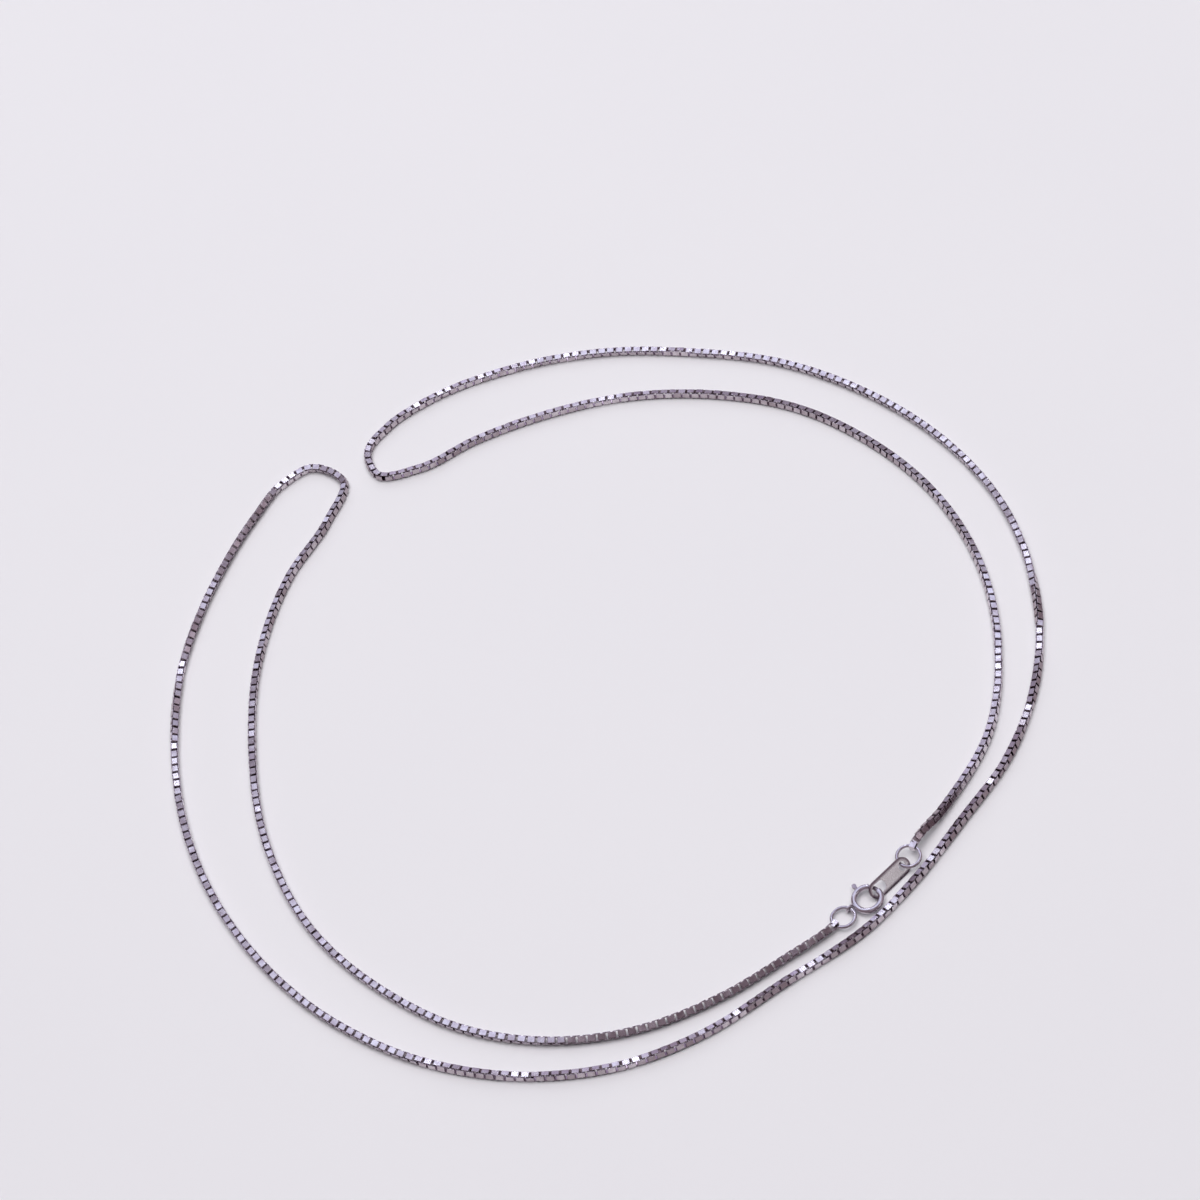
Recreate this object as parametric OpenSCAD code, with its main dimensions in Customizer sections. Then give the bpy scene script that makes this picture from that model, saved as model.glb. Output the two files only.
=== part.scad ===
// A fine box chain closed into a loop by a spring ring, lying doubled in a C on a flat surface at z = 0.
// Millimetres, +Z up, with the origin on the surface under the middle of the whole loop.

/* [Chain] */
// Length of the whole closed necklace, clasp included
loop_length = 762; // [762:2:900]
// Side of the chain's square section
chain_side = 1.1; // [1.0:0.05:1.2]
// How far the turned corners of the chain stand past its flat sides
corner_rise = 0.06; // [0.02:0.01:0.1]
// Thickness of the flat strip that the links are bent from
strip_t = 0.12; // [0.1:0.01:0.13]
// Width of that strip
strip_w = 0.82; // [0.7:0.02:0.84]
// Play between the parts threaded through an end link
link_play = 0.04; // [0.03:0.01:0.08]

/* [Jump rings] */
// Outer diameter of a jump ring
jump_outer_d = 3.8; // [3.6:0.1:4.0]
// Diameter of its round wire
jump_wire_d = 0.5; // [0.4:0.05:0.55]

/* [End tag] */
// Distance from the tag's round hole to the far end of its long hole, centre to centre
tag_span = 5.15; // [4.8:0.05:5.6]
// Metal left round each hole
tag_rim = 0.42; // [0.3:0.02:0.6]
// Thickness of the plate
tag_t = 0.3; // [0.25:0.05:0.35]
// How much wider the round hole is than the jump ring's wire
tag_hole_play = 0.86; // [0.8:0.02:1.0]
// How much wider the long hole is than the clasp's tube
tag_slot_play = 0.8; // [0.76:0.02:0.9]
// Length of the long hole beyond its own width
tag_slot_run = 0.8; // [0.4:0.1:1.2]

/* [Spring ring] */
// Outer diameter of the clasp's ring
clasp_outer_d = 4.66; // [4.4:0.1:5.0]
// Diameter of the tube that the ring is bent from
clasp_tube_d = 0.86; // [0.8:0.02:0.9]
// Wall of that tube
clasp_wall = 0.1; // [0.08:0.01:0.13]
// Radial clearance of the bolt in the tube
bolt_clear = 0.03; // [0.02:0.01:0.05]
// Angle that the open mouth takes up
mouth_angle = 46; // [40:1:50]
// Angle of the bolt inside the tube past the mouth when it is shut
bolt_overlap = 6; // [4:1:8]
// Width of the thumb lever where it leaves the tube
lever_root_w = 0.34; // [0.28:0.02:0.4]
// Width of the thumb lever at its tip
lever_tip_w = 0.66; // [0.5:0.02:0.8]
// Thickness of the thumb lever
lever_t = 0.36; // [0.3:0.02:0.4]
// How far the lever stands out of the tube
lever_reach = 0.85; // [0.6:0.05:1.0]
// Play of the lever in its slot, all round
lever_play = 0.05; // [0.03:0.01:0.08]
// Diameter of the eye's wire
eye_wire_d = 0.3; // [0.26:0.02:0.34]
// How much wider the eye is than the jump ring's wire
eye_play = 0.24; // [0.18:0.02:0.3]
// How deep the eye is soldered into the tube's side
eye_sunk = 0.16; // [0.12:0.02:0.2]

/* [Hidden] */
$fn = 64;

// The loop as it lies, as [x, y], from the right end of the chain round to its left end, for a necklace
// of ROUTE_LENGTH. A longer one lies in the same figure, larger by spread.
ROUTE_LENGTH = 762;
spread = loop_length / ROUTE_LENGTH;
ROUTE = [
    [42, -36], [51.5, -24.5], [56.5, -9.5], [57.5, 6], [54, 21.5], [47, 34], [37.5, 44], [25.5, 50.5],
    [11.5, 54], [0.5, 54], [-11.5, 52], [-20.5, 49], [-27, 49.5], [-28, 54.5], [-24, 59], [-17, 62.5],
    [-4, 65], [11.5, 64], [25.5, 59.5], [36, 54.5], [47.5, 45], [57.5, 31.5], [63.5, 15.5], [64, -2],
    [60.5, -16.5], [53, -29.5], [44.5, -38], [36, -46], [28, -52], [14.5, -58], [2.5, -63],
    [-9.5, -65], [-21.5, -63.5], [-34.5, -58], [-47.5, -47], [-57.5, -31.5], [-63, -14.5], [-64, 3.5],
    [-61, 21], [-53.5, 37], [-47, 46.5], [-42, 52], [-37, 54], [-32.5, 50], [-36, 42.5], [-43, 33.5],
    [-49.5, 19], [-52.5, 2.5], [-52.5, -15], [-48, -31.5], [-38.5, -45.5], [-29.5, -53.5],
    [-18.5, -58.5], [-6.5, -60], [5.5, -58], [16, -54]
];
// The point of the route where the two halves of the chain meet.
MEET = floor(len(ROUTE) / 2);
// A span of the route longer than this gets one more ring of the tube at its middle.
LONG_SPAN = 15;
// Share of the end link's lift that is left at the points next to it.
LIFT = [1, 0.4, 0.08];
TUBE_SIDES = 8;

// Where the clasp lies, and how its ring leans: [compass direction of the lean, lean].
CLASP_PLACE = [28.7, -47.7];
clasp_rise = 0.9;
clasp_at = [CLASP_PLACE[0] * spread, CLASP_PLACE[1] * spread, clasp_rise];
clasp_lean = [-141, 4.6];
// Places round the clasp, as angles seen from above.
tag_angle = 32.5;
mouth_middle = 49;
lever_angle = 118;
eye_angle = 196;
eye_twist = 20;
// How the tag lies: compass direction from its round hole to its long hole, and its tip towards the front.
tag_heading = 215;
tag_tip = 48;
// Where the right jump ring passes through the tag, from the middle of the round hole.
tag_hole_offset = [-0.1, 0];
right_lean = [-105, 7];
right_tag_angle = 226;
right_chain_angle = 54;
left_lean = [150, 5];
left_eye_angle = 46;
// How far above the eye's middle the left jump ring passes through it.
left_pass_rise = 0.08;
left_chain_angle = 214;
// How far an end link stands up on its wire, and the space between it and the swept tube.
end_link_rise = 0.1;
tube_gap = 0.14;

tube_r = chain_side / 2 + corner_rise;
jump_wire_r = jump_wire_d / 2;
jump_r = jump_outer_d / 2 - jump_wire_r;
clasp_tube_r = clasp_tube_d / 2;
clasp_r = clasp_outer_d / 2 - clasp_tube_r;
bore_r = clasp_tube_r - clasp_wall;
bolt_r = bore_r - bolt_clear;
eye_wire_r = eye_wire_d / 2;
eye_r = (jump_wire_d + eye_play) / 2 + eye_wire_r;
eye_d = clasp_r + clasp_tube_r + eye_r + eye_wire_r - eye_sunk;
tag_hole_r = (jump_wire_d + tag_hole_play) / 2;
tag_slot_r = (clasp_tube_d + tag_slot_play) / 2;
tag_half_w = max(tag_hole_r, tag_slot_r) + tag_rim;
mouth_start = mouth_middle - mouth_angle / 2;
mouth_end = mouth_middle + mouth_angle / 2;
// The lever runs from its shut place until the bolt's tip is clear of the mouth.
bolt_travel = mouth_angle + bolt_overlap;
bolt_tip_angle = bolt_r / clasp_r * 180 / PI;
// How far the bolt reaches back past its lever, and the bore left behind it when it is pulled right back.
bolt_back = 10;
spring_left = 4;
spring_room = lever_angle + bolt_back + bolt_travel + spring_left - mouth_end;
socket_depth = bolt_overlap + 6;
// An end link holds the wall of its neighbour and the wire of a jump ring.
wire_bulge = pow(strip_w / 2, 2) / (2 * jump_r);
end_link_len = 3 * strip_t + jump_wire_d + wire_bulge + 3 * link_play;
end_link_r = jump_r - jump_wire_r - wire_bulge - link_play - strip_t + end_link_len / 2;
tube_start_r = end_link_r + end_link_len / 2 + tube_gap;

// A point turned as something whose upright axis leans by lean[1] towards the direction lean[0].
function leaned(p, lean) =
    let (k = [-sin(lean[0]), cos(lean[0]), 0])
    p * cos(lean[1]) + cross(k, p) * sin(lean[1]) + k * (k * p) * (1 - cos(lean[1]));
function round_point(r, a) = [r * cos(a), r * sin(a), 0];
// A point of the tag, from its own plane to where the tag lies.
function tag_turned(p) =
    let (y = p[1] * cos(tag_tip) + p[2] * sin(tag_tip), z = p[2] * cos(tag_tip) - p[1] * sin(tag_tip))
    [p[0] * cos(tag_heading) - y * sin(tag_heading), p[0] * sin(tag_heading) + y * cos(tag_heading), z];

// Each piece is placed from the one before it, starting at the clasp.
tag_at = clasp_at + leaned(round_point(clasp_r, tag_angle), clasp_lean);
right_pass = tag_at + tag_turned([tag_hole_offset[0] - tag_span, tag_hole_offset[1], 0]);
right_ring_at = right_pass - leaned(round_point(jump_r, right_tag_angle), right_lean);
eye_at = clasp_at + leaned(round_point(eye_d, eye_angle), clasp_lean);
left_ring_at = eye_at + [0, 0, left_pass_rise] - leaned(round_point(jump_r, left_eye_angle), left_lean);
right_way = leaned(round_point(1, right_chain_angle), right_lean);
left_way = leaned(round_point(1, left_chain_angle), left_lean);
right_start = right_ring_at + right_way * tube_start_r + [0, 0, end_link_rise];
left_start = left_ring_at + left_way * tube_start_r + [0, 0, end_link_rise];

// Height of the tube's middle at a point that is k points away from an end at height z.
function lifted(k, z) = tube_r + (k < len(LIFT) ? LIFT[k] * (z - tube_r) : 0);
LAST = len(ROUTE) - 1;
PATH = concat(
    [right_start],
    [for (i = [0:LAST]) [ROUTE[i][0] * spread, ROUTE[i][1] * spread,
        lifted(i + 1, right_start[2]) + lifted(LAST - i + 1, left_start[2]) - tube_r]],
    [left_start]);

// Slope of the route at a point: that of a parabola through the point and its two neighbours,
// and at the two ends the way that the end links point.
function inner_slope(path, i) =
    let (a = path[i] - path[i - 1], b = path[i + 1] - path[i], la = norm(a), lb = norm(b))
    (a / la * lb + b / lb * la) / (la + lb);
function slope(path, i) =
    i == 0 ? right_way
    : i == len(path) - 1 ? -left_way
    : inner_slope(path, i);
function between(path, i) =
    let (h = norm(path[i + 1] - path[i]))
    (path[i] + path[i + 1]) / 2 + (slope(path, i) - slope(path, i + 1)) * h / 8;
// The tube lies on the surface and never sinks into it.
function on_surface(p) = [p[0], p[1], max(p[2], tube_r)];
function between_slope(path, i) =
    let (h = norm(path[i + 1] - path[i]))
    (path[i + 1] - path[i]) / h * 1.5 - (slope(path, i) + slope(path, i + 1)) / 4;
// Places of the tube's rings from point a to point b, as [middle, direction].
function stations(path, a, b) = [
    for (i = [a:b]) each concat(
        [[path[i], slope(path, i)]],
        i < b && norm(path[i + 1] - path[i]) > LONG_SPAN * spread
            ? [[on_surface(between(path, i)), between_slope(path, i)]]
            : [])];

// A ring of the tube's corners, square to its direction and with a flat side down.
function tube_ring(station, r) =
    let (d = station[1] / norm(station[1]), side = cross([0, 0, 1], d), s = side / norm(side), u = cross(d, s))
    [for (k = [0:TUBE_SIDES - 1])
        let (a = (k + 0.5) * 360 / TUBE_SIDES) station[0] + (s * cos(a) + u * sin(a)) * r];

module tube(path, a, b, r) {
    rings = stations(path, a, b);
    n = len(rings);
    m = TUBE_SIDES;
    points = [for (q = rings) each tube_ring(q, r)];
    sides = [for (i = [0:n - 2], k = [0:m - 1])
        let (p = i * m + k, q = i * m + (k + 1) % m) each [[p, q + m, q], [p, p + m, q + m]]];
    caps = [[for (k = [0:m - 1]) k], [for (k = [m - 1:-1:0]) (n - 1) * m + k]];
    polyhedron(points, concat(sides, caps));
}

module lean_to(at, lean) {
    translate(at)
        rotate(a = lean[1], v = [-sin(lean[0]), cos(lean[0]), 0])
            children();
}

// Part of a bent round bar, from angle a to angle b.
module arc_bar(r, bar_r, a, b) {
    rotate([0, 0, a])
        rotate_extrude(angle = b - a)
            translate([r, 0])
                circle(r = bar_r);
}

module full_ring(r, wire_r) {
    rotate_extrude()
        translate([r, 0])
            circle(r = wire_r);
}

module chain_right() {
    color([0.62, 0.6, 0.66])
        tube(PATH, 0, MEET + 1, tube_r / cos(180 / TUBE_SIDES));
}

module chain_left() {
    color([0.62, 0.6, 0.66])
        tube(PATH, MEET + 1, len(PATH) - 1, tube_r / cos(180 / TUBE_SIDES));
}

// The last link of the chain, standing across the wire of a jump ring.
module end_link(at, lean, angle) {
    lean_to(at, lean)
        rotate([0, 0, angle])
            translate([end_link_r, 0, end_link_rise])
                difference() {
                    cube([end_link_len, strip_w, chain_side], center = true);
                    cube([end_link_len - 2 * strip_t, strip_w + 1, chain_side - 2 * strip_t], center = true);
                }
}

module end_link_right() {
    color([0.7, 0.69, 0.72])
        end_link(right_ring_at, right_lean, right_chain_angle);
}

module end_link_left() {
    color([0.7, 0.69, 0.72])
        end_link(left_ring_at, left_lean, left_chain_angle);
}

module jump_ring_right() {
    color([0.75, 0.74, 0.77])
        lean_to(right_ring_at, right_lean)
            full_ring(jump_r, jump_wire_r);
}

module jump_ring_left() {
    color([0.75, 0.74, 0.77])
        lean_to(left_ring_at, left_lean)
            full_ring(jump_r, jump_wire_r);
}

// The tag's plate in its own plane: x = 0 is the far end of the long hole.
module end_tag() {
    color([0.72, 0.71, 0.73])
        translate(tag_at)
            rotate([0, 0, tag_heading])
                rotate([-tag_tip, 0, 0])
                    translate([0, 0, -tag_t / 2])
                        linear_extrude(tag_t)
                            difference() {
                                union() {
                                    circle(r = tag_half_w);
                                    translate([-tag_span, 0])
                                        circle(r = tag_half_w);
                                    translate([-tag_span, -tag_half_w])
                                        square([tag_span, 2 * tag_half_w]);
                                }
                                translate([-tag_span, 0])
                                    circle(r = tag_hole_r);
                                circle(r = tag_slot_r);
                                translate([-tag_slot_run, 0])
                                    circle(r = tag_slot_r);
                                translate([-tag_slot_run, -tag_slot_r])
                                    square([tag_slot_run, 2 * tag_slot_r]);
                            }
}

// The ring is a bent tube, closed but for its mouth, with a slot for the lever and a soldered eye.
module clasp_ring() {
    lever_half_angle = (lever_root_w / 2 + lever_play) / clasp_r * 180 / PI;
    color([0.74, 0.73, 0.77])
        lean_to(clasp_at, clasp_lean)
            difference() {
                union() {
                    arc_bar(clasp_r, clasp_tube_r, mouth_end, mouth_start + 360);
                    rotate([0, 0, eye_angle])
                        translate([eye_d, 0, 0])
                            rotate([0, 0, eye_twist])
                                rotate([90, 0, 0])
                                    full_ring(eye_r, eye_wire_r);
                }
                arc_bar(clasp_r, bore_r, mouth_end - 1, mouth_end + spring_room);
                arc_bar(clasp_r, bore_r, mouth_start - socket_depth, mouth_start + 1);
                rotate([0, 0, lever_angle - lever_half_angle])
                    rotate_extrude(angle = bolt_travel + 2 * lever_half_angle)
                        translate([clasp_r, -lever_t / 2 - lever_play])
                            square([clasp_tube_r + 1, lever_t + 2 * lever_play]);
            }
}

// The curved bolt with a round nose, and the lever that pulls it back into the ring.
module clasp_bolt() {
    nose = mouth_start - bolt_overlap + bolt_tip_angle;
    lever_end = clasp_r + clasp_tube_r + lever_reach;
    color([0.7, 0.69, 0.73])
        lean_to(clasp_at, clasp_lean)
            union() {
                arc_bar(clasp_r, bolt_r, nose, lever_angle + bolt_back);
                rotate([0, 0, nose])
                    translate([clasp_r, 0, 0])
                        sphere(r = bolt_r);
                rotate([0, 0, lever_angle])
                    translate([0, 0, -lever_t / 2])
                        linear_extrude(lever_t)
                            union() {
                                polygon([[clasp_r, -lever_root_w / 2],
                                         [clasp_r + clasp_tube_r, -lever_root_w / 2],
                                         [lever_end - lever_tip_w / 2, -lever_tip_w / 2],
                                         [lever_end - lever_tip_w / 2, lever_tip_w / 2],
                                         [clasp_r + clasp_tube_r, lever_root_w / 2],
                                         [clasp_r, lever_root_w / 2]]);
                                translate([lever_end - lever_tip_w / 2, 0])
                                    circle(r = lever_tip_w / 2);
                            }
            }
}

chain_right();
chain_left();
end_link_right();
end_link_left();
jump_ring_right();
jump_ring_left();
end_tag();
clasp_ring();
clasp_bolt();
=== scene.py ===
# A fine silver box chain necklace on a pale surface: its links, its finish, the light and the camera.
# Lengths are worked out in millimetres, in the part's own frame, and go to Blender in metres.
import math

import bpy
import numpy as np
from mathutils import Matrix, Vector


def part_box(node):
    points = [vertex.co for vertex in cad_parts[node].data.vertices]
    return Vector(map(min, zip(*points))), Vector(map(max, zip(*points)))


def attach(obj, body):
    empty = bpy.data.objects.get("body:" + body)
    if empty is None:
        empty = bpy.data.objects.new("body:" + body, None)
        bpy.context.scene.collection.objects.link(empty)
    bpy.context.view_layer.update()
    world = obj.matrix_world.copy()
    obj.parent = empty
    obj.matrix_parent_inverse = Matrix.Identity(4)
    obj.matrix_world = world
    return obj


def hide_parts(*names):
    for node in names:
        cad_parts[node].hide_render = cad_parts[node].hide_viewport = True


MM = 0.001
UP = np.array([0, 0, 1.0])

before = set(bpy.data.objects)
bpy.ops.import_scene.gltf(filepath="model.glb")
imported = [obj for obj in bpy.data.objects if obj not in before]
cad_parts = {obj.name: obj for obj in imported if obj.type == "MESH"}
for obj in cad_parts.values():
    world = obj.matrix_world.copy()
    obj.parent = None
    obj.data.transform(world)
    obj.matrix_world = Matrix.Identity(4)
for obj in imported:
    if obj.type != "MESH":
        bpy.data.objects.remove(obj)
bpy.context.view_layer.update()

# The camera: where it stands, how many degrees it looks down and leans, its focal length, and its clip
# distances in metres.
CAM_AT = (1.965, -348.736, 442.43)
CAM_DOWN = 50.511
CAM_ROLL = -12.927
LENS = 115.71
CLIP = (0.01, 20)

# The chain, as in the solids: the side of a square link, its strip's thickness and width, how far the
# solid tube stands past half a side, the play between links, the distance from link to link, and a jump
# ring's wire and mean radius.
SIDE = 1.1
STRIP_T = 0.12
STRIP_W = 0.82
CORNER_RISE = 0.06
LINK_PLAY = 0.04
PITCH = 0.6933
JUMP_WIRE = 0.5
JUMP_R = 1.65
TUBE_R = SIDE / 2 + CORNER_RISE

# The link's finer shape: its corners outside and inside, and the rounding of the strip's edges.
CORNER_R = 0.1
INNER_R = 0.04
EDGE = 0.05
CORNER_STEPS = 3
EDGE_STEPS = 4

# The way that the chain lies, from its right end to its left, and the point where its halves meet.
ROUTE = [
    (42, -36), (51.5, -24.5), (56.5, -9.5), (57.5, 6), (54, 21.5), (47, 34), (37.5, 44), (25.5, 50.5),
    (11.5, 54), (0.5, 54), (-11.5, 52), (-20.5, 49), (-27, 49.5), (-28, 54.5), (-24, 59), (-17, 62.5),
    (-4, 65), (11.5, 64), (25.5, 59.5), (36, 54.5), (47.5, 45), (57.5, 31.5), (63.5, 15.5), (64, -2),
    (60.5, -16.5), (53, -29.5), (44.5, -38), (36, -46), (28, -52), (14.5, -58), (2.5, -63),
    (-9.5, -65), (-21.5, -63.5), (-34.5, -58), (-47.5, -47), (-57.5, -31.5), (-63, -14.5), (-64, 3.5),
    (-61, 21), (-53.5, 37), (-47, 46.5), (-42, 52), (-37, 54), (-32.5, 50), (-36, 42.5), (-43, 33.5),
    (-49.5, 19), (-52.5, 2.5), (-52.5, -15), (-48, -31.5), (-38.5, -45.5), (-29.5, -53.5),
    (-18.5, -58.5), (-6.5, -60), (5.5, -58), (16, -54)]
MEET = 28
SPAN_STEPS = 200

# How much of an end's height the route keeps at the first and the second point from that end.
LIFT = (0.4, 0.08)

# Half the length over which a link takes its direction from the route.
REACH = 0.3

# How the chain is rolled about its own length: millimetres from its right end, degrees.
ROLL = [
    (0, 25), (6, 60), (10, 63), (14, 74), (20, 75), (28, 76), (31, 88), (36, 87), (39, 100), (42, 106),
    (49, 107), (57, 112), (66, 107), (84, 103), (100, 102), (120, 102), (125, 99), (127, 89), (129, 89),
    (131, 97), (147, 98), (153, 100), (160, 102), (165, 95), (170, 100), (172, 97), (175, 78), (180, 80),
    (182, 96), (184, 77), (187, 98), (190, 77), (195, 96), (197, 77), (201, 99), (206, 99), (207, 92),
    (209, 92), (210, 100), (222, 100), (224, 78), (226, 78), (228, 102), (232, 100), (233, 92), (234, 92),
    (236, 101), (250, 102), (262, 101), (276, 102), (277, 92), (279, 92), (280, 103), (297, 103), (298, 92),
    (300, 92), (302, 104), (307, 140), (311, 150), (314, 183), (316, 184), (321, 212), (325, 206),
    (328, 183), (334, 202), (341, 187), (345, 206), (352, 206), (356, 187), (360, 204), (364, 203),
    (365, 183), (367, 183), (369, 204), (375, 208), (379, 183), (381, 183), (384, 206), (390, 206),
    (393, 186), (397, 196), (407, 198), (408, 184), (410, 184), (411, 196), (421, 197), (423, 184),
    (425, 184), (426, 196), (435, 195), (436, 184), (438, 184), (440, 170), (462, 168), (475, 174),
    (502, 177), (504, 184), (510, 185), (513, 210), (522, 208), (524, 185), (526, 185), (528, 210),
    (535, 208), (539, 191), (546, 208), (560, 214), (562, 183), (565, 183), (569, 196), (580, 200),
    (604, 196), (614, 184), (625, 181), (655, 182), (680, 186), (695, 188), (710, 208), (746, 206)]

# How much the links are darkened along the chain, partly tarnish and partly painted shade: millimetres from
# its right end, 0 for bright to 1 for brown.
TARNISH_AND_SHADE = [
    (0, 0.9), (11, 0.8), (16, 0.2), (30, 0), (48, 0.1), (60, 0.4), (124, 0.4), (126, 0), (130, 0),
    (133, 0.25), (147, 0.4), (152, 0.6), (168, 0.4), (176, 0.45), (181, 0.45), (183, 0.1), (198, 0.25),
    (205, 0.25), (207, 0), (303, 0), (310, 0.5), (313, 0.2), (317, 0.2), (321, 0.9), (326, 0.9), (328, 0),
    (331, 0.9), (339, 0.8), (341, 0.1), (343, 0.9), (353, 0.9), (356, 0.1), (358, 0.7), (363, 0.6),
    (365, 0), (368, 0), (371, 0.8), (377, 0.8), (379, 0), (382, 0), (385, 0.8), (391, 0.8), (393, 0),
    (396, 0.3), (401, 0.7), (406, 0.7), (408, 0), (411, 0), (413, 0.5), (421, 0.5), (423, 0), (426, 0),
    (428, 0.4), (434, 0.4), (436, 0), (476, 0), (495, 0.15), (502, 0.15), (504, 0), (511, 0), (514, 0.45),
    (522, 0.45), (524, 0), (527, 0), (530, 0.45), (560, 0.55), (562, 0), (566, 0), (570, 0.45),
    (600, 0.55), (640, 0.3), (655, 0.1), (695, 0.1), (705, 0.35), (722, 0.6), (746, 0.7)]

# The links' small random differences: their seed, and how large they are in roll and in tilt, in degrees,
# and in darkening, partly tarnish and partly painted shade.
SEED = 7
WOBBLE_ROLL = 2.4
WOBBLE_TILT = 1.8
WOBBLE_TARNISH_AND_SHADE = 0.15

# The silver: the colour of the links' darkening, partly tarnish and partly painted shade, and of the
# painted shade inside a link, how many clouds of tarnish fit in a metre on links and on plain pieces, how
# detailed a cloud is, and at which of its values, from 0 to 1, the silver is quite tarnished and quite
# light.
TARNISH_AND_SHADE_COLOUR = (0.26, 0.2, 0.22)
INSIDE_SHADE_COLOUR = (0.38, 0.29, 0.34)
LINK_CLOUDS = 900
PLAIN_CLOUDS = 350
CLOUD_DETAIL = 3.0
TARNISHED_AT = 0.35
LIGHT_AT = 0.62

# Its scratches: how many times finer they are than the clouds, how strong and how deep.
SCRATCH_FINER = 9
SCRATCH_STRENGTH = 0.08
SCRATCH_DEPTH = 0.02

# The tag's painted shade along its rim: where it starts and where it is darkest, as shares of half the
# tag's width, and its colour.
RIM_FROM = 0.6
RIM_TO = 0.92
RIM_SHADE_COLOUR = (0.16, 0.11, 0.14)

# The surface under the chain: its half width in metres, its two shades, how many clouds of them fit in a
# metre, and how matt it is.
FLOOR_HALF = 6.0
FLOOR_SHADES = ((0.8, 0.795, 0.845), (0.82, 0.815, 0.86))
FLOOR_CLOUDS = 14.0
FLOOR_ROUGH = 0.6

# The light: a dim glow all round, and soft panels that face the chain. Each panel has a name, a compass
# direction (0 behind the chain, 90 to its right) and a height in degrees, a distance and a size in
# metres, a radiance and a colour. The surface panels light the surface and don't show in the metal, and the
# mirrored ones do the opposite.
GLOW_COLOUR = (1.0, 0.8, 0.92)
GLOW_STRENGTH = 0.28
WINDOW = (0.78, 0.91, 1.16)
SURFACE_PANELS = [
    ("fill", 0, 88, 1.5, (1.6, 1.6), 3.08, (1.0, 0.97, 0.965)),
    ("around", 0, 35, 1.5, (2.0, 1.0), 1.3, (1, 1, 1))]
MIRRORED_PANELS = [
    ("sky", 0, 44, 1.4, (0.6, 0.64), 0.75, (0.8, 0.91, 1.16)),
    ("dusk", 0, 18, 1.4, (0.7, 0.25), 0.45, (0.62, 0.62, 1.1)),
    ("low", -18, 10, 1.4, (0.34, 0.2), 1.2, (0.75, 0.9, 1.16)),
    ("band", -5, 26, 1.4, (0.5, 0.24), 1.0, (0.84, 0.88, 1.12)),
    ("east", 36, 38, 1.4, (0.55, 0.5), 1.25, WINDOW),
    ("west", -28, 30, 1.4, (0.5, 0.42), 1.4, WINDOW),
    ("high", -12, 74, 1.5, (1.6, 1.0), 0.98, (0.8, 0.91, 1.14)),
    ("flash", 2, 50, 1.3, (0.1, 0.08), 14, (0.9, 1.0, 1.03)),
    ("left", -75, 30, 1.4, (0.35, 0.5), 1.1, WINDOW),
    ("beside", 75, 40, 1.4, (0.8, 0.6), 0.45, (0.98, 0.9, 1.0)),
    ("right", 121, 27, 1.4, (0.4, 0.4), 1.05, (0.93, 1.0, 0.98)),
    ("spark", 100, 44, 1.3, (0.1, 0.1), 6, (0.93, 1.0, 1.03)),
    ("front", 172, 58, 1.4, (0.4, 0.2), 0.9, (0.9, 0.92, 1.02))]

# The sockets of Blender's colour mix node.
MIX_AMOUNT = 0
MIX_FIRST = 6
MIX_SECOND = 7
MIX_RESULT = 2


def unit(v):
    return v / np.linalg.norm(v)


def column(values):
    return values[:, None]


def unit_rows(v):
    return v / column(np.linalg.norm(v, axis=1))


def middle(node):
    low, high = (np.array(c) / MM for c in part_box(node))
    return (low + high) / 2


def add_object(name, data):
    obj = bpy.data.objects.new(name, data)
    bpy.context.scene.collection.objects.link(obj)
    return obj


def stand(obj, place, x, y, z):
    """Puts an object at a place, with its own axes turned to x, y and z."""
    turn = Matrix([list(x), list(y), list(z)]).transposed()
    obj.matrix_world = Matrix.Translation(list(place)) @ turn.to_4x4()


def chain_end(side):
    """Where the chain starts beside an end link, and the way that the link points there."""
    ring = middle("jump_ring_" + side)
    link = middle("end_link_" + side)
    return link, unit(link - ring)


def lift(k):
    """The share of an end's height that is left k points past the first one from that end."""
    return LIFT[k] if k < len(LIFT) else 0


def route_points():
    """The route's points from end link to end link, and its directions at both."""
    right, right_way = chain_end("right")
    left, left_way = chain_end("left")
    last = len(ROUTE) - 1
    lift_r = right[2] - TUBE_R
    lift_l = left[2] - TUBE_R
    inner = [np.array([x, y, TUBE_R + lift(i) * lift_r + lift(last - i) * lift_l])
             for i, (x, y) in enumerate(ROUTE)]
    return [right] + inner + [left], right_way, -left_way


def curve():
    """The route as closely spaced points with their distances along it, and where the halves meet. Each
    span is a cubic curve through its two points, with a slope at each from the spans on both sides."""
    points, first, final = route_points()
    slopes = [first]
    for a, b, c in zip(points, points[1:], points[2:]):
        u, v = b - a, c - b
        lu, lv = np.linalg.norm(u), np.linalg.norm(v)
        slopes.append((u / lu * lv + v / lv * lu) / (lu + lv))
    slopes.append(final)
    dense = []
    t = column(np.linspace(0, 1, SPAN_STEPS, endpoint=False))
    for i in range(len(points) - 1):
        p, q = points[i], points[i + 1]
        h = np.linalg.norm(q - p)
        a, b = slopes[i] * h, slopes[i + 1] * h
        dense.append((2 * t**3 - 3 * t**2 + 1) * p + (t**3 - 2 * t**2 + t) * a
                     + (3 * t**2 - 2 * t**3) * q + (t**3 - t**2) * b)
    dense = np.vstack(dense + [points[-1][None]])
    steps = np.linalg.norm(np.diff(dense, axis=0), axis=1)
    along = np.concatenate([[0], np.cumsum(steps)])
    # One span comes before the route's own points: the one from the right end link.
    return dense, along, along[(MEET + 1) * SPAN_STEPS]


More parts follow.
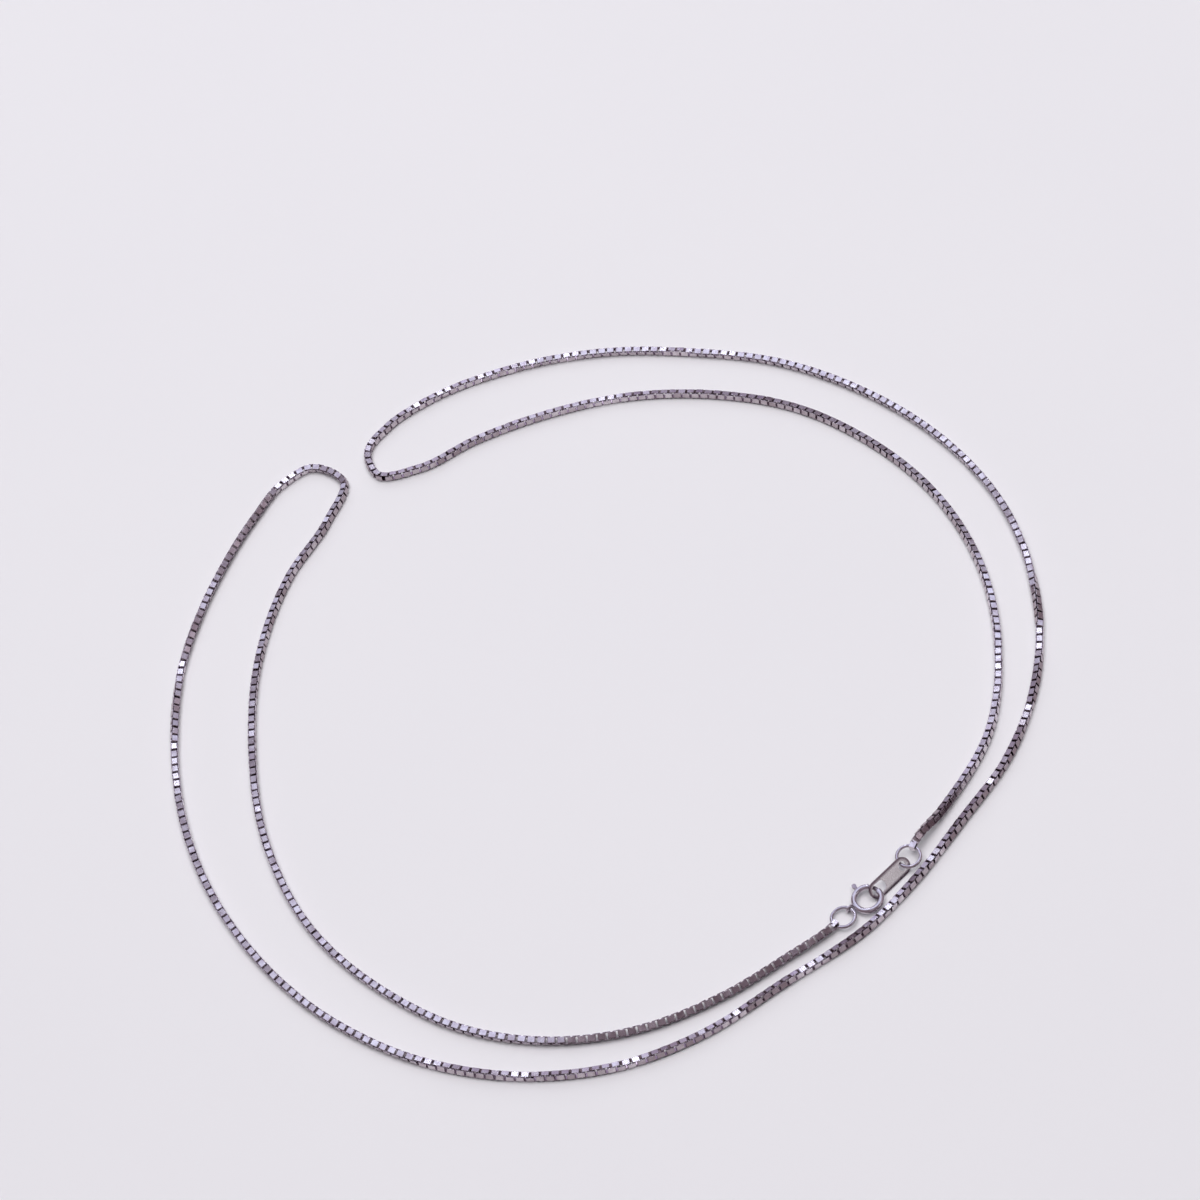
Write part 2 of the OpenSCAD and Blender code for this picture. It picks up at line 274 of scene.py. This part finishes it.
def strip_outline():
    """The strip's cross-section, with rounded edges: for each point its place across the strip, its
    depth under the outer face, and its normal outward and across."""
    rows = []
    for side in (-1, 1):
        for step in range(EDGE_STEPS + 1):
            turn = math.pi * (step if side > 0 else EDGE_STEPS - step) / EDGE_STEPS
            y = side * (STRIP_W / 2 - EDGE + EDGE * math.sin(turn))
            depth = STRIP_T / 2 * (1 - math.cos(turn))
            out = math.cos(turn) / (STRIP_T / 2)
            across = side * math.sin(turn) / EDGE
            size = math.hypot(out, across)
            rows.append((y, depth, out / size, across / size))
    return rows


def link_shape():
    """One link, a square ring of strip with x along the chain and y along its bore: its points, their
    normals, its faces, and for each point its share of painted shade, 0 outside the ring to 1 inside."""
    rows = strip_outline()
    points, normals, inner = [], [], []
    for y, depth, out, across in rows:
        half = SIDE / 2 - depth
        r = max(CORNER_R - depth, INNER_R)
        for k, (cx, cz) in enumerate([(1, 1), (-1, 1), (-1, -1), (1, -1)]):
            for j in range(CORNER_STEPS + 1):
                a = math.radians(90 * (k + j / CORNER_STEPS))
                points.append((cx * (half - r) + r * math.cos(a), y, cz * (half - r) + r * math.sin(a)))
                normals.append((out * math.cos(a), across, out * math.sin(a)))
                # Painted shade, growing with the depth under the outer face.
                inner.append(depth / STRIP_T)
    count = 4 * (CORNER_STEPS + 1)
    faces = []
    for k in range(len(rows)):
        row, next_row = k * count, (k + 1) % len(rows) * count
        for i in range(count):
            j = (i + 1) % count
            faces.append((row + i, next_row + i, next_row + j, row + j))
    return np.array(points), np.array(normals), np.array(faces), np.array(inner)


def roll_at(s):
    """The roll at a distance along the chain, eased so that it has no kinks."""
    keys, values = np.array(ROLL, dtype=float).T
    i = np.clip(np.searchsorted(keys, s) - 1, 0, len(keys) - 2)
    f = np.clip((s - keys[i]) / (keys[i + 1] - keys[i]), 0, 1)
    return values[i] + (values[i + 1] - values[i]) * f * f * (3 - 2 * f)


def place_links():
    """The links on the route, before they are rolled: their distances along it, their middles, the
    directions ahead, to the side and up, and the distance at which the halves meet."""
    dense, along, meet = curve()
    ring_bow = (STRIP_W / 2) ** 2 / (2 * JUMP_R)
    end_half = (3 * STRIP_T + JUMP_WIRE + ring_bow + 3 * LINK_PLAY) / 2
    overlap = 2 * STRIP_T + LINK_PLAY
    first = end_half + SIDE / 2 - overlap
    length = along[-1] - 2 * first
    # An odd number of links, so that the first and the last lie the same way round.
    count = 2 * round(length / PITCH / 2) + 1
    distance = first + np.linspace(0, length, count)

    def at(distances):
        return np.stack([np.interp(distances, along, dense[:, k]) for k in range(3)], axis=1)

    ahead = unit_rows(at(distance + REACH) - at(distance - REACH))
    side = unit_rows(np.cross(UP, ahead))
    return distance, at(distance), ahead, side, np.cross(ahead, side), meet


def lay_links():
    """The links as they lie, every second one turned a quarter: their distances, their middles, the
    directions ahead, through the bore and across it, their darkening that is partly tarnish and partly
    painted shade, and where the halves meet."""
    distance, centre, ahead, side, up, meet = place_links()
    count = len(distance)
    rng = np.random.default_rng(SEED)
    roll = np.radians(roll_at(distance) + rng.normal(0, WOBBLE_ROLL, count))
    yaw = np.radians(rng.normal(0, WOBBLE_TILT, count))
    nod = np.radians(rng.normal(0, WOBBLE_TILT, count))
    # The darkening, partly tarnish and partly painted shade, read from the table along the chain and varied
    # at random.
    tarnish_and_shade = np.interp(distance, *np.array(TARNISH_AND_SHADE).T) + rng.normal(0, WOBBLE_TARNISH_AND_SHADE, count)
    flat = SIDE / 2 - CORNER_R
    half_height = flat * (abs(np.cos(roll)) + abs(np.sin(roll))) + CORNER_R
    centre = centre + UP * column(half_height - TUBE_R)
    across = side * column(np.cos(roll)) + up * column(np.sin(roll))
    upright = up * column(np.cos(roll)) - side * column(np.sin(roll))
    turned = column(np.arange(count) % 2 == 0)
    bore = np.where(turned, upright, across)
    rise = np.where(turned, -across, upright)
    ahead = unit_rows(ahead + bore * column(np.sin(yaw)) + rise * column(np.sin(nod)))
    bore = unit_rows(bore - ahead * column(np.sum(bore * ahead, axis=1)))
    return distance, centre, ahead, bore, np.cross(ahead, bore), np.clip(tarnish_and_shade, 0, 1), meet


def mesh_object(name, verts, normals, faces, shades):
    """A smooth mesh of four-sided faces, with its own normals and named numbers at its points."""
    mesh = bpy.data.meshes.new(name)
    mesh.vertices.add(len(verts))
    mesh.vertices.foreach_set("co", (verts * MM).astype(np.float32).ravel())
    mesh.loops.add(faces.size)
    mesh.loops.foreach_set("vertex_index", faces.astype(np.int32).ravel())
    mesh.polygons.add(len(faces))
    starts = np.arange(0, faces.size, faces.shape[1], dtype=np.int32)
    mesh.polygons.foreach_set("loop_start", starts)
    mesh.update(calc_edges=True)
    mesh.polygons.foreach_set("use_smooth", np.ones(len(faces), dtype=bool))
    for kind, values in shades.items():
        shade = mesh.attributes.new(kind, "FLOAT", "POINT")
        shade.data.foreach_set("value", values.astype(np.float32))
    mesh.normals_split_custom_set_from_vertices(normals.astype(np.float32))
    return add_object(name, mesh)


def build_chain(material):
    distance, centre, ahead, bore, rise, tarnish_and_shade, meet = lay_links()
    shape, normals, faces, inside = link_shape()
    for name, pick in (("chain_right", distance < meet), ("chain_left", distance >= meet)):
        c, x, y, z = centre[pick], ahead[pick], bore[pick], rise[pick]

        def turned(points):
            return (points[None, :, :1] * x[:, None] + points[None, :, 1:2] * y[:, None]
                    + points[None, :, 2:] * z[:, None])

        verts = (c[:, None] + turned(shape)).reshape(-1, 3)
        starts = np.arange(len(c)) * len(shape)
        quads = (faces[None] + starts[:, None, None]).reshape(-1, 4)
        # Painted shade inside the links, and their darkening that is partly tarnish and partly painted
        # shade.
        shades = {"inside": np.tile(inside, len(c)), "tarnish_and_shade": np.repeat(tarnish_and_shade[pick], len(shape))}
        own_name = name.replace("chain", "links")
        obj = mesh_object(own_name, verts, turned(normals).reshape(-1, 3), quads, shades)
        obj.data.materials.append(material)
        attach(obj, "root")
        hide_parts(name)


def new_material(name):
    material = bpy.data.materials.new(name)
    material.use_nodes = True
    nodes = material.node_tree.nodes
    return material, nodes, material.node_tree.links, nodes["Principled BSDF"]


def object_place(nodes):
    return nodes.new("ShaderNodeTexCoord").outputs["Object"]


def noise(nodes, links, place, scale, detail=2.0):
    cloud = nodes.new("ShaderNodeTexNoise")
    cloud.inputs["Scale"].default_value = scale
    cloud.inputs["Detail"].default_value = detail
    links.new(place, cloud.inputs["Vector"])
    return cloud.outputs["Fac"]


def colour_ramp(nodes, links, amount, stops):
    ramp = nodes.new("ShaderNodeValToRGB")
    for element, (position, shade) in zip(ramp.color_ramp.elements, stops):
        element.position = position
        element.color = (*shade, 1)
    links.new(amount, ramp.inputs["Fac"])
    return ramp.outputs["Color"]


def mixed(nodes, links, amount, below, shade):
    """The colour below, turned to a shade where the amount is 1."""
    mix = nodes.new("ShaderNodeMix")
    mix.data_type = "RGBA"
    mix.inputs[MIX_SECOND].default_value = (*shade, 1)
    links.new(amount, mix.inputs[MIX_AMOUNT])
    links.new(below, mix.inputs[MIX_FIRST])
    return mix.outputs[MIX_RESULT]


def worked(nodes, links, kind, operation, value, other=None):
    """A math node of one kind, linked to a value and set against a constant where it takes one."""
    node = nodes.new(kind)
    node.operation = operation
    links.new(value, node.inputs[0])
    if other is not None:
        node.inputs[1].default_value = other
    return node


def silver(name, rough, tarnish, light, scale, tarnish_and_painted_shade=False):
    """Silver with a faint cloudy tarnish and fine scratches and, where asked, painted shade on the links'
    insides and darker stretches that are partly tarnish and partly painted shade. It is roughened by the
    first number at a cloud's value 0 and by the second at 1."""
    material, nodes, links, shader = new_material(name)
    shader.inputs["Metallic"].default_value = 1.0
    place = object_place(nodes)
    cloud = noise(nodes, links, place, scale, CLOUD_DETAIL)
    colour = colour_ramp(nodes, links, cloud, ((TARNISHED_AT, tarnish), (LIGHT_AT, light)))
    if tarnish_and_painted_shade:
        # Painted shade on the links' insides, and their darkening that is partly tarnish and partly painted
        # shade.
        for kind, shade in (("tarnish_and_shade", TARNISH_AND_SHADE_COLOUR), ("inside", INSIDE_SHADE_COLOUR)):
            attribute = nodes.new("ShaderNodeAttribute")
            attribute.attribute_name = kind
            colour = mixed(nodes, links, attribute.outputs["Fac"], colour, shade)
    links.new(colour, shader.inputs["Base Color"])
    spread = nodes.new("ShaderNodeMapRange")
    spread.inputs["To Min"].default_value = rough[0]
    spread.inputs["To Max"].default_value = rough[1]
    links.new(cloud, spread.inputs["Value"])
    links.new(spread.outputs["Result"], shader.inputs["Roughness"])
    fine = noise(nodes, links, place, scale * SCRATCH_FINER)
    bump = nodes.new("ShaderNodeBump")
    bump.inputs["Strength"].default_value = SCRATCH_STRENGTH
    bump.inputs["Distance"].default_value = SCRATCH_DEPTH * MM
    links.new(fine, bump.inputs["Height"])
    links.new(bump.outputs["Normal"], shader.inputs["Normal"])
    return material


def paint_rim_shade(material, obj):
    """Paints shade on a flat piece with round ends along its rim, by the distance from its middle line."""
    corners = np.array([v.co for v in obj.data.vertices])
    centre = (corners.min(axis=0) + corners.max(axis=0)) / 2
    ways = np.linalg.svd(corners - corners.mean(axis=0), full_matrices=False)[2]
    half_length, half_width = abs((corners - centre) @ ways.T).max(axis=0)[:2]
    nodes, links = material.node_tree.nodes, material.node_tree.links
    shader = nodes["Principled BSDF"]
    shift = worked(nodes, links, "ShaderNodeVectorMath", "SUBTRACT", object_place(nodes), centre)
    joined = nodes.new("ShaderNodeCombineXYZ")
    for k, straight in ((0, half_length - half_width), (1, 0)):
        along = worked(nodes, links, "ShaderNodeVectorMath", "DOT_PRODUCT", shift.outputs[0], ways[k])
        size = worked(nodes, links, "ShaderNodeMath", "ABSOLUTE", along.outputs["Value"])
        past = worked(nodes, links, "ShaderNodeMath", "SUBTRACT", size.outputs[0], straight)
        kept = worked(nodes, links, "ShaderNodeMath", "MAXIMUM", past.outputs[0], 0)
        links.new(kept.outputs[0], joined.inputs[k])
    far = worked(nodes, links, "ShaderNodeVectorMath", "LENGTH", joined.outputs[0])
    rim = nodes.new("ShaderNodeMapRange")
    rim.inputs["From Min"].default_value = half_width * RIM_FROM
    rim.inputs["From Max"].default_value = half_width * RIM_TO
    links.new(far.outputs["Value"], rim.inputs["Value"])
    base = shader.inputs["Base Color"]
    # The painted shade along the tag's rim.
    links.new(mixed(nodes, links, rim.outputs["Result"], base.links[0].from_socket, RIM_SHADE_COLOUR), base)


def chain_silver():
    return silver("chain_silver", rough=(0.18, 0.33), tarnish=(0.53, 0.46, 0.505),
                  light=(0.74, 0.69, 0.725), scale=LINK_CLOUDS, tarnish_and_painted_shade=True)


def polished_silver():
    return silver("polished_silver", rough=(0.11, 0.23), tarnish=(0.4, 0.36, 0.4),
                  light=(0.64, 0.59, 0.63), scale=PLAIN_CLOUDS)


def bolt_silver():
    return silver("bolt_silver", rough=(0.15, 0.3), tarnish=(0.2, 0.16, 0.18),
                  light=(0.42, 0.36, 0.39), scale=PLAIN_CLOUDS)


def tag_silver(obj):
    material = silver("tag_silver", rough=(0.2, 0.34), tarnish=(0.56, 0.52, 0.54),
                      light=(0.76, 0.72, 0.74), scale=PLAIN_CLOUDS)
    paint_rim_shade(material, obj)
    return material


def pale_surface():
    material, nodes, links, shader = new_material("pale_surface")
    cloud = noise(nodes, links, object_place(nodes), FLOOR_CLOUDS)
    colour = colour_ramp(nodes, links, cloud, ((0, FLOOR_SHADES[0]), (1, FLOOR_SHADES[1])))
    links.new(colour, shader.inputs["Base Color"])
    shader.inputs["Roughness"].default_value = FLOOR_ROUGH
    return material


def add_floor():
    mesh = bpy.data.meshes.new("floor")
    r = FLOOR_HALF
    mesh.from_pydata([(-r, -r, 0), (r, -r, 0), (r, r, 0), (-r, r, 0)], [], [(0, 1, 2, 3)])
    floor = add_object("floor", mesh)
    floor.data.materials.append(pale_surface())


def add_panel(name, compass, height, away, size, radiance, colour, mirrored):
    data = bpy.data.lights.new(name, "AREA")
    data.shape = "RECTANGLE"
    data.size, data.size_y = size
    data.energy = radiance * math.pi * size[0] * size[1]
    data.color = colour
    lamp = add_object(name, data)
    c, h = math.radians(compass), math.radians(height)
    way = np.array([math.sin(c) * math.cos(h), math.cos(c) * math.cos(h), math.sin(h)])
    x = np.array([math.cos(c), -math.sin(c), 0])
    stand(lamp, way * away, x, np.cross(way, x), way)
    lamp.visible_camera = False
    lamp.visible_glossy = mirrored
    lamp.visible_diffuse = not mirrored


def add_glow():
    """The glow shows in the metal and doesn't light the surface."""
    world = bpy.data.worlds.new("studio")
    bpy.context.scene.world = world
    world.use_nodes = True
    background = world.node_tree.nodes["Background"]
    background.inputs["Color"].default_value = (*GLOW_COLOUR, 1)
    background.inputs["Strength"].default_value = GLOW_STRENGTH
    world.cycles_visibility.diffuse = False


def add_camera():
    down, roll = math.radians(CAM_DOWN), math.radians(CAM_ROLL)
    right = np.array([1.0, 0, 0])
    up = np.array([0, math.sin(down), math.cos(down)])
    x = math.cos(roll) * right + math.sin(roll) * up
    y = -math.sin(roll) * right + math.cos(roll) * up
    data = bpy.data.cameras.new("camera")
    data.lens = LENS
    data.clip_start, data.clip_end = CLIP
    camera = add_object("camera", data)
    stand(camera, [c * MM for c in CAM_AT], x, y, np.cross(x, y))
    bpy.context.scene.camera = camera


add_camera()
add_floor()
add_glow()
for panel in SURFACE_PANELS:
    add_panel(*panel, mirrored=False)
for panel in MIRRORED_PANELS:
    add_panel(*panel, mirrored=True)
bpy.context.scene.view_settings.view_transform = "Standard"

chain_metal = chain_silver()
polished = polished_silver()
metals = {"end_link_right": chain_metal, "end_link_left": chain_metal, "clasp_bolt": bolt_silver(),
          "end_tag": tag_silver(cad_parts["end_tag"])}
build_chain(chain_metal)
for node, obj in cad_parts.items():
    if not node.startswith("chain_"):
        obj.data.materials.clear()
        obj.data.materials.append(metals.get(node, polished))
